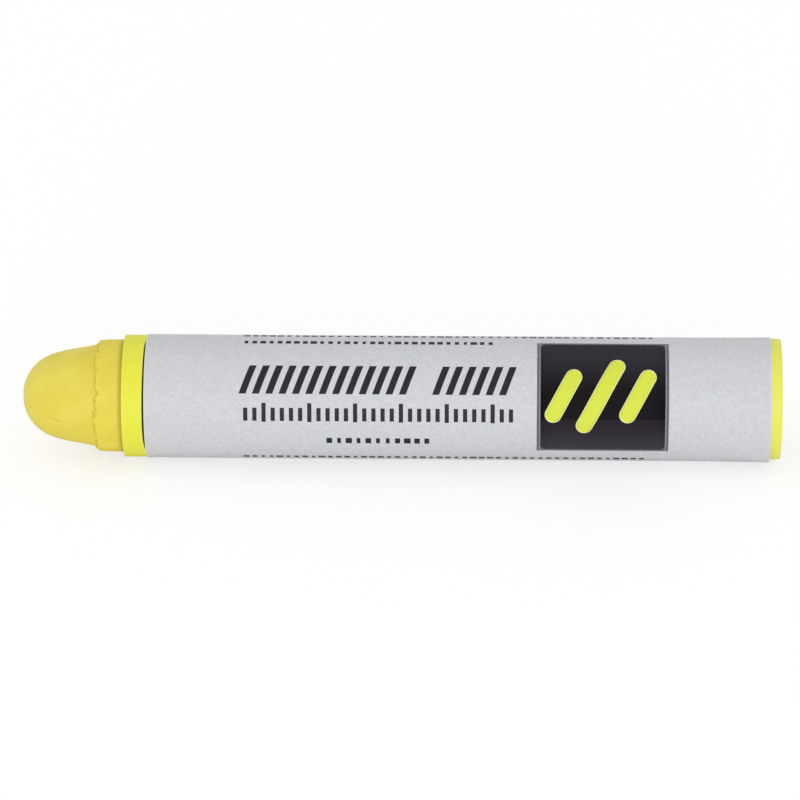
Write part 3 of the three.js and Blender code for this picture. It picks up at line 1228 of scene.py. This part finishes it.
def flat_print(name: str, grids: list[np.ndarray], ink: PrintedInk) -> Piece:
    """Makes flat printed patches from grids of places.

    Args:
        name: The piece's name.
        grids: Each grid's rows of X and Y. The rows follow each other upwards, and each row runs along X.
        ink: The ink.

    Returns:
        The patches as one piece, lying in X and Y.
    """
    places, faces = [], []
    for grid in grids:
        rows, columns, _ = grid.shape
        for row in range(rows - 1):
            for column in range(columns - 1):
                corner = len(places) + row * columns + column
                faces.append((corner, corner + 1, corner + columns + 1, corner + columns))
        places += [(x, y, 0.0) for x, y in grid.reshape(-1, 2)]
    return piece_from(name, np.array(places), faces, ink)


def wrap(flat: Piece, ink: PrintedInk, slot: Slot, sizes: PenSizes, radius: float, thickness: float) -> None:
    """Wraps a flat print round the pen, with its middle towards the camera, and hands it over.

    Args:
        flat: The flat print.
        ink: Its ink.
        slot: The record's slot for the paper beneath.
        sizes: The pen's sizes.
        radius: Radius of the ink's underside.
        thickness: Thickness of the ink.
    """
    wrap_recipe().work(
        flat,
        ink,
        Facing=FACING,
        Radius=radius,
        Axis_Height=sizes.axis_height,
        Thickness=thickness,
        Weld=0.0005 * MM,
    )
    enlist(flat, Body.TUBE, slot)


@dataclass
class PaperTube:
    """The wound paper tube: liner, two plies of board and the fluorescent wrap."""

    sizes: PenSizes
    liner_thickness: float = 0.08 * MM
    ply_thickness: float = 0.24 * MM
    wrap_thickness: float = 0.08 * MM
    cut_round: float = 0.02 * MM
    fine_step: float = 0.3 * MM  # length of the faces near the rear
    pinch: float = 0.09 * MM  # how far the knife turned the rear edge in
    pinch_reach: float = 0.7 * MM
    dent: float = 0.24 * MM  # how far the tube is crushed under its rear end
    dent_reach: float = 6.0 * MM
    dent_turn: float = math.radians(-58)
    dent_half_turn: float = math.radians(75)
    line_width: float = 0.3 * MM  # of the printed line that shows beside the label
    line_taper: float = 0.2  # share of its width that it has less above, and more below
    line_half_turn: float = math.radians(63)
    line_up_fade: int = 16  # the higher, the more suddenly the line ends
    line_down_fade: int = 5
    line_under_label: float = 0.3 * MM
    line_steps: int = 60
    line_gap: float = 0.002 * MM
    line_thickness: float = 0.01 * MM

    def build_layer(self, name: str, node: str, thickness: float, finish: Finish, slot: Slot) -> None:
        """Makes one layer, as long as the tube, with its cut ends barely rounded.

        Args:
            name: The piece's name.
            node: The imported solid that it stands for, which gives its outer radius.
            thickness: Thickness of the paper.
            finish: The layer's finish.
            slot: The record's slot for it.
        """
        front, rear, cut = self.sizes.mouth, self.sizes.rear, self.cut_round
        radius, plain_to = self.sizes.radius[node], rear - self.dent_reach
        inner = radius - thickness
        outline = [
            (front, radius - cut),
            (front + cut, radius),
            *finer([(plain_to, radius), (rear - cut, radius)], self.fine_step),
            (rear, radius - cut),
            (rear, inner + cut),
            *finer([(rear - cut, inner), (plain_to, inner)], self.fine_step),
            (front + cut, inner),
            (front, inner + cut),
            (front, radius - cut),
        ]
        layer = turned(name, outline, self.sizes, finish)
        reshape(layer, self.sizes.axis_height, self.crushed)
        enlist(layer, Body.TUBE, slot, node)

    def crushed(self, x: np.ndarray, radius: np.ndarray, turn: np.ndarray) -> np.ndarray:
        """Turns the rear edge in, and crushes the tube a little on the side that it was dropped on.

        Args:
            x: Stations.
            radius: Radii of the whole tube.
            turn: Turns.

        Returns:
            The new radii. The bore keeps its radius where the tube is crushed, and the board gets thinner.
        """
        bore, outside = self.sizes.radius["tube_liner"], self.sizes.radius["tube_wrap"]
        share = np.clip((radius - bore) / (outside - bore), 0.0, 1.0)
        behind = self.sizes.rear - x
        aside = turned_from(turn, self.dent_turn) / self.dent_half_turn
        dent = self.dent * share * swell(behind / self.dent_reach) * swell(aside)
        return radius - self.pinch * swell(behind / self.pinch_reach) - dent

    def build_layers(self) -> None:
        """Makes the four layers from the bore outwards."""
        board, yellow = Board(self.sizes), FluorescentPaper(self.sizes)
        for layer in (
            ("bore_liner", "tube_liner", self.liner_thickness, WaxedPaper(), Slot.WAXED_PAPER),
            ("inner_board", "tube_inner_ply", self.ply_thickness, board, Slot.BOARD),
            ("outer_board", "tube_outer_ply", self.ply_thickness, board, Slot.BOARD),
            ("yellow_wrap", "tube_wrap", self.wrap_thickness, yellow, Slot.YELLOW_PAPER),
        ):
            self.build_layer(*layer)

    def build_line(self) -> None:
        """Prints the dark line on the wrap, which the label doesn't quite cover on the side that faces up."""
        front = self.sizes.label_front
        radius = self.sizes.radius["tube_wrap"] + self.line_gap
        rows = []
        for step in range(self.line_steps + 1):
            share = 2 * step / self.line_steps - 1
            fade = abs(share) ** (self.line_up_fade if share > 0 else self.line_down_fade)
            width = self.line_width * (1 - fade) * (1 - self.line_taper * share)
            rise = share * self.line_half_turn * radius
            rows.append([(front - width, rise), (front + self.line_under_label, rise)])
        ink = PrintedInk("line_ink", colour(34, 27, 18), colour(70, 62, 30), starving=0.4)
        line = flat_print("line_on_wrap", [np.array(rows)], ink)
        wrap(line, ink, Slot.YELLOW_PAPER, self.sizes, radius, self.line_thickness)


@dataclass(frozen=True)
class MarkRow:
    """One printed row of marks. Start and rise are from the middle of the print that faces the camera."""

    name: str
    start: float
    length: float
    rise: float
    height: float
    pitch: float
    width: float
    slant: float = 0.0
    spread: float = 0.0
    seed: int = 0


@dataclass(frozen=True)
class Stroke:
    """One slanted stroke of paint in the label's panel."""

    x: float
    length: float
    rise: float = 0.4 * MM
    width: float = 2.3 * MM
    lean: float = math.radians(62)


@dataclass(frozen=True)
class Lobe:
    """A place round the pen where the label's rear edge stands off."""

    turn: float
    half_turn: float
    height: float


def sheet_faces(wide: int, tall: int) -> list[Face]:
    """Lists the faces of a sheet with a thickness, made of two layers of vertices, the outer layer first.

    Args:
        wide: Number of vertices in a layer's row, and the rows run round the pen.
        tall: Number of rows.

    Returns:
        Vertex numbers of each face.
    """
    layer = wide * tall
    faces = []
    for row in range(tall - 1):
        for column in range(wide - 1):
            a = row * wide + column
            b, c, d = a + wide, a + wide + 1, a + 1
            faces.append((layer + a, layer + b, layer + c, layer + d))
            faces.append((a, d, c, b))
    for column in range(wide - 1):
        last = (tall - 1) * wide + column
        faces.append((column, layer + column, layer + column + 1, column + 1))
        faces.append((last, last + 1, layer + last + 1, layer + last))
    for row in range(tall - 1):
        left, right = row * wide, row * wide + wide - 1
        faces.append((left, left + wide, layer + left + wide, layer + left))
        faces.append((right, layer + right, layer + right + wide, right + wide))
    return faces


def rounded_box(
    length: float, height: float, corner: float, even: np.ndarray, bends: int, columns: int
) -> np.ndarray:
    """Lays out a flat box with round corners about the origin.

    Args:
        length: Its length along X.
        height: Its height along Y.
        corner: Radius of a corner.
        even: Levels of the rows that aren't there for the corners' sake.
        bends: Number of steps in the rounding of a corner.
        columns: Number of places in a row.

    Returns:
        A grid of places in X and Y.
    """
    rounding = height / 2 - corner * (1 - np.sin(math.pi / 2 * np.arange(bends + 1) / bends))
    levels = np.unique(np.round(np.concatenate([even, rounding, -rounding]), decimals=9))
    past = np.maximum(np.abs(levels) - (height / 2 - corner), 0.0)
    drawn_in = corner - np.sqrt(np.maximum(corner**2 - past**2, 0.0))
    half = np.maximum(length / 2 - drawn_in, NARROWEST)
    across = half[:, None] * np.linspace(-1, 1, columns)
    return np.stack(np.broadcast_arrays(across, levels[:, None]), axis=-1)


@dataclass
class PrintedLabel:
    """The label and its generic print: rows of marks, and a dark panel with strokes of paint."""

    sizes: PenSizes
    thickness: float = 0.08 * MM
    glue_line: float = 0.02 * MM
    lap: float = 5.0 * MM
    lap_ramp: float = 1.7 * MM
    lap_turn: float = math.radians(220)  # middle of the lap, on the side away from the print
    loose_from: float = 44.0 * MM
    loose_curve: float = 1.6  # the higher, the later the paper lifts
    loose: tuple[Lobe, ...] = (
        Lobe(math.radians(-49), math.radians(41), 0.13 * MM),
        Lobe(math.radians(118), math.radians(50), 0.1 * MM),
    )
    turn_step: float = math.radians(0.9)
    length_step: float = 1.6 * MM
    panel_middle: float = 31.25 * MM
    panel_length: float = 20.22 * MM
    panel_height: float = 19.89 * MM
    panel_rise: float = 0.45 * MM
    panel_mesh: tuple[int, int] = (5, 9)  # steps in a corner, and places in a row
    field_side: float = 19.13 * MM
    field_corner: float = 0.9 * MM
    creep: float = 0.27 * MM  # how far the label reaches past its solid at the rear
    print_step: float = 0.35 * MM
    stroke_rim: float = 0.14 * MM
    stroke_rows: int = 40
    stroke_mesh: tuple[int, int] = (8, 7)  # the same as for the panel
    ink_gap: float = 0.008 * MM
    ink_thickness: float = 0.006 * MM
    rows: tuple[MarkRow, ...] = (  # start, length, rise, height, pitch and width of each
        MarkRow("hatch_wide", -24.3 * MM, 26.6 * MM, 2.7 * MM, 4.55 * MM, 2.05 * MM, 1.08 * MM, slant=0.36),
        MarkRow("hatch_narrow", 5.4 * MM, 12.3 * MM, 2.7 * MM, 4.55 * MM, 2.05 * MM, 1.08 * MM, slant=0.36),
        MarkRow("rule_long", -24.3 * MM, 42.2 * MM, -2.5 * MM, 3.0 * MM, 7.03 * MM, 0.65 * MM),
        MarkRow("rule_short", -24.3 * MM, 42.2 * MM, -2.8 * MM, 2.1 * MM, 1.406 * MM, 0.65 * MM),
        MarkRow(
            "dash_middle",
            -11.5 * MM,
            16.5 * MM,
            -7.45 * MM,
            1.1 * MM,
            1.5 * MM,
            1.05 * MM,
            spread=0.55,
            seed=3,
        ),
    )
    fine_row: MarkRow = MarkRow("dashes", -24.4 * MM, 0.0, 0.0, 0.85 * MM, 1.3 * MM, 1.05 * MM, spread=0.6)
    fine_rows: tuple[Span, ...] = (  # rise and length of each of the rows like it, which go right round
        (10.2 * MM, 39.0 * MM),
        (13.1 * MM, 63.7 * MM),
        (16.0 * MM, 58.5 * MM),
        (18.9 * MM, 40.3 * MM),
        (24.7 * MM, 31.2 * MM),
        (-12.5 * MM, 62.4 * MM),
        (-15.4 * MM, 65.0 * MM),
        (-18.3 * MM, 48.1 * MM),
        (-24.1 * MM, 28.6 * MM),
    )
    strokes: tuple[Stroke, ...] = (
        Stroke(25.2 * MM, 9.0 * MM),
        Stroke(30.9 * MM, 13.0 * MM),
        Stroke(36.6 * MM, 9.0 * MM),
    )

    def loosened(self, x: np.ndarray, radius: np.ndarray, turn: np.ndarray) -> np.ndarray:
        """Lifts the label where its rear edge is loose.

        Args:
            x: Stations.
            radius: Radii of the flat-lying label.
            turn: Turns.

        Returns:
            The new radii.
        """
        along = np.clip((x - self.loose_from) / (self.sizes.label_rear - self.loose_from), 0.0, 1.0)
        lobes = [lobe.height * swell(turned_from(turn, lobe.turn) / lobe.half_turn) for lobe in self.loose]
        return radius + along**self.loose_curve * sum(lobes)

    def build_sheet(self) -> None:
        """Makes the paper: once round the tube, then up over its own leading edge."""
        sizes, outer = self.sizes, self.sizes.radius["label"]
        inner = outer - self.thickness
        first, full = self.lap_turn + self.lap / inner / 2, 2 * math.pi + self.lap / inner
        turns = np.linspace(first, first - full, math.ceil(full / self.turn_step) + 1)
        rear = sizes.label_rear + self.creep
        count = math.ceil((rear - sizes.label_front) / self.length_step)
        stations = np.linspace(sizes.label_front, rear, count + 1)
        ramp = self.lap_ramp / inner
        climbed = np.clip((first - 2 * math.pi + ramp - turns) / ramp, 0.0, 1.0)
        climb = climbed**2 * (3 - 2 * climbed) * (self.thickness + self.glue_line)
        places = [
            sizes.on_pen(x, radius + up, turn)
            for radius in (outer, inner)
            for x in stations
            for turn, up in zip(turns, climb)
        ]
        lap_edge = sizes.on_pen(rear, outer + climb[-1], turns[-1])[2]
        finish = LabelPaper(sizes, rear, lap_edge)
        sheet = piece_from("label_sheet", np.array(places), sheet_faces(len(turns), len(stations)), finish)
        reshape(sheet, sizes.axis_height, self.loosened)
        enlist(sheet, Body.TUBE, Slot.LABEL_PAPER, "label")

    def print_on(self, flat: Piece, ink: PrintedInk, level: int = 0) -> None:
        """Wraps a flat print round the label.

        Args:
            flat: The flat print.
            ink: Its ink.
            level: How many inks lie beneath it.
        """
        radius = self.sizes.radius["label"] + self.ink_gap * (level + 1)
        wrap(flat, ink, Slot.LABEL_PAPER, self.sizes, radius, self.ink_thickness)

    def build_rows(self) -> None:
        """Prints the rows of marks."""
        ink = PrintedInk("dark_ink", colour(33, 30, 43), colour(92, 90, 104), starving=0.3)
        recipe = mark_row_recipe()
        fine = [
            replace(self.fine_row, name=f"dashes_{number}", rise=rise, length=length, seed=number)
            for number, (rise, length) in enumerate(self.fine_rows, 1)
        ]
        for row in [*self.rows, *fine]:
            inputs = asdict(row)
            marks = piece_from(inputs.pop("name"), np.zeros((0, 3)), [], ink)
            recipe.work(marks, ink, **{name.capitalize(): value for name, value in inputs.items()})
            self.print_on(marks, ink)

    def build_panel(self) -> None:
        """Prints the dark panel: a grey border, a black field with round corners, and strokes of paint."""
        side = self.field_side
        grey = BorderInk(
            "border_ink",
            colour(107, 102, 112),
            colour(178, 174, 183),
            starving=1.0,
            middle=self.panel_middle,
            reach=side / 2,
        )
        black = PanelInk(
            "panel_ink",
            colour(15, 10, 14),
            colour(34, 29, 35),
            starving=0.2,
            roughness=0.6,
            specular=0.12,
        )
        pale = PrintedInk("stroke_rim_ink", colour(246, 249, 176), colour(232, 238, 150), starving=0.5)
        yellow = PrintedInk("stroke_ink", colour(218, 229, 72), colour(205, 214, 80), starving=0.5)
        layers = (
            ("panel_border", [self.boxed(self.panel_length, self.panel_height, 0.0)], grey),
            ("panel_field", [self.boxed(side, side, self.field_corner)], black),
            ("panel_stroke_rims", [self.brushed(stroke, self.stroke_rim) for stroke in self.strokes], pale),
            ("panel_strokes", [self.brushed(stroke, 0.0) for stroke in self.strokes], yellow),
        )
        for level, (name, grids, ink) in enumerate(layers):
            self.print_on(flat_print(name, grids, ink), ink, level)

    def boxed(self, length: float, height: float, corner: float) -> np.ndarray:
        """Lays out a box with round corners on the panel's middle.

        Args:
            length: Its length along X.
            height: Its height along the paper.
            corner: Radius of a corner.

        Returns:
            A grid of places in X and Y.
        """
        even = np.linspace(-height / 2, height / 2, math.ceil(height / self.print_step) + 1)
        box = rounded_box(length, height, corner, even, *self.panel_mesh)
        return box + (self.panel_middle, self.panel_rise)

    def brushed(self, stroke: Stroke, rim: float) -> np.ndarray:
        """Lays out one stroke with round ends.

        Args:
            stroke: Its place and size.
            rim: How much larger it is made all round.

        Returns:
            A grid of places in X and Y.
        """
        width, length = stroke.width + 2 * rim, stroke.length + 2 * rim
        straight = (length - width) / 2
        even = np.linspace(-straight, straight, self.stroke_rows)
        upright = rounded_box(width, length, width / 2, even, *self.stroke_mesh)
        across, along = math.sin(stroke.lean), math.cos(stroke.lean)
        return upright @ np.array([[across, -along], [along, across]]) + (stroke.x, stroke.rise)


@dataclass(frozen=True)
class Lamp:
    """A square softbox that points at the pen."""

    name: str
    place: tuple[float, float, float]
    side: float
    watts: float


@dataclass
class Studio:
    """The floor, the lamps, the world and the camera."""

    sizes: PenSizes
    distance: float = 755 * MM
    picture_side: float = 124.13 * MM  # what the picture spans at the pen's axis
    camera_x: float = 20.5 * MM
    aim_x: float = -0.1 * MM
    aim_drop: float = 0.42 * MM  # the picture's middle lies this far below the axis
    roll: float = math.radians(0.385)
    sensor: float = 36.0
    clip: Span = (0.01, 20.0)
    floor_side: float = 4.0
    floor_colour: Colour = colour(246, 246, 246)
    floor_fade: Span = (0.14, 0.4)  # the floor turns white between these distances from the pen
    seen_share: float = 0.4  # of the floor's own light that the camera sees
    seen_glow: float = 0.68  # which the camera sees besides
    ambient: float = 0.78  # strength of the even light
    lamps: tuple[Lamp, ...] = (
        Lamp("key_light", (0.1, -1.2, 0.3), side=0.6, watts=2.9),
        Lamp("low_light", (-0.2, -1.1, 0.06), side=0.4, watts=1.0),
        Lamp("back_light", (-0.2, 0.9, 0.9), side=0.9, watts=0.1),
        Lamp("nose_light", (-1.1, -0.1, 0.5), side=0.7, watts=0.8),
        Lamp("rear_light", (1.1, -0.1, 0.5), side=0.7, watts=0.8),
    )

    def seen(self, graph: NodeGraph) -> Socket:
        """Returns 1 for what the camera sees directly, and otherwise 0."""
        return graph.node("ShaderNodeLightPath").outputs["Is Camera Ray"]

    def build_floor(self) -> None:
        """Lays a plain pale floor, which keeps the pen's shadow and fades to white further off."""
        half = self.floor_side / 2
        corners = [(-half, -half, 0), (half, -half, 0), (half, half, 0), (-half, half, 0)]
        mesh = bpy.data.meshes.new("floor")
        mesh.from_pydata(corners, [], [(0, 1, 2, 3)])
        material = bpy.data.materials.new("floor")
        material.use_nodes = True
        graph = NodeGraph(material.node_tree)
        graph.tree.nodes.clear()
        dimmed = (*(channel * self.seen_share for channel in self.floor_colour[:3]), 1.0)
        plain = graph.result("ShaderNodeBsdfDiffuse", {"Color": self.floor_colour})
        shaded = graph.result("ShaderNodeBsdfDiffuse", {"Color": dimmed})
        glow = graph.result("ShaderNodeEmission", {"Strength": self.seen_glow})
        near = graph.result("ShaderNodeAddShader", {0: shaded, 1: glow})
        white = graph.result("ShaderNodeEmission", {"Strength": 1.0})
        from_pen = graph.vectors("LENGTH", graph.node("ShaderNodeTexCoord").outputs["Object"])
        faded = graph.ramp(from_pen, *self.floor_fade)
        seen = graph.result("ShaderNodeMixShader", {0: faded, 1: near, 2: white})
        surface = graph.result("ShaderNodeMixShader", {0: self.seen(graph), 1: plain, 2: seen})
        graph.node("ShaderNodeOutputMaterial", {"Surface": surface})
        mesh.materials.append(material)
        floor = placed("floor", mesh)

    def build_world(self) -> None:
        """Fills the studio with even light, and shows white behind everything."""
        world = bpy.data.worlds.new("studio")
        bpy.context.scene.world = world
        world.use_nodes = True
        graph = NodeGraph(world.node_tree)
        graph.tree.nodes.clear()
        strength = graph.math("MULTIPLY_ADD", self.seen(graph), 1.0 - self.ambient, self.ambient)
        light = graph.result("ShaderNodeBackground", {"Color": (1.0, 1.0, 1.0, 1.0), "Strength": strength})
        graph.node("ShaderNodeOutputWorld", {"Surface": light})

    def build_lamps(self) -> None:
        """Hangs a key light under the camera, a low one beneath it, a weak one behind and one at each end."""
        for lamp in self.lamps:
            light = bpy.data.lights.new(lamp.name, "AREA")
            light.shape = "SQUARE"
            light.size = lamp.side
            light.energy = lamp.watts
            holder = placed(lamp.name, light)
            holder.location = lamp.place
            holder.rotation_euler = (-Vector(lamp.place)).to_track_quat("-Z", "Y").to_euler()

    def build_camera(self) -> None:
        """Sets the camera at the photograph's angle, distance and framing."""
        camera = bpy.data.cameras.new("camera")
        camera.sensor_width = self.sensor
        camera.lens = self.sensor * self.distance / self.picture_side
        camera.clip_start, camera.clip_end = self.clip
        eye = Vector(self.sizes.on_pen(self.camera_x, self.distance, FACING))
        up = Vector((0.0, math.sin(FACING), math.cos(FACING)))
        aim = Vector((self.aim_x, 0.0, self.sizes.axis_height)) - up * self.aim_drop
        back = (eye - aim).normalized()
        right = up.cross(back).normalized()
        upright = back.cross(right)
        rolled_right = right * math.cos(self.roll) + upright * math.sin(self.roll)
        rolled_up = upright * math.cos(self.roll) - right * math.sin(self.roll)
        axes = Matrix((rolled_right, rolled_up, back)).transposed().to_4x4()
        holder = placed("camera", camera)
        holder.matrix_world = Matrix.Translation(eye) @ axes
        bpy.context.scene.camera = holder

    def build(self) -> None:
        """Builds the whole studio."""
        self.build_floor()
        self.build_world()
        self.build_lamps()
        self.build_camera()
        bpy.context.scene.view_settings.view_transform = "Standard"


def main() -> None:
    """Builds the pen's parts in order, then the studio."""
    logging.basicConfig(level=logging.INFO, format="%(message)s")
    sizes = PenSizes.from_frame()
    stick = PaintStick(sizes)
    stick.build_paint()
    stick.build_skin()
    stick.build_crumbs()
    stick.build_follower()
    tube = PaperTube(sizes)
    tube.build_layers()
    tube.build_line()
    label = PrintedLabel(sizes)
    label.build_sheet()
    label.build_rows()
    label.build_panel()
    Studio(sizes).build()


if __name__ == "__main__":
    main()
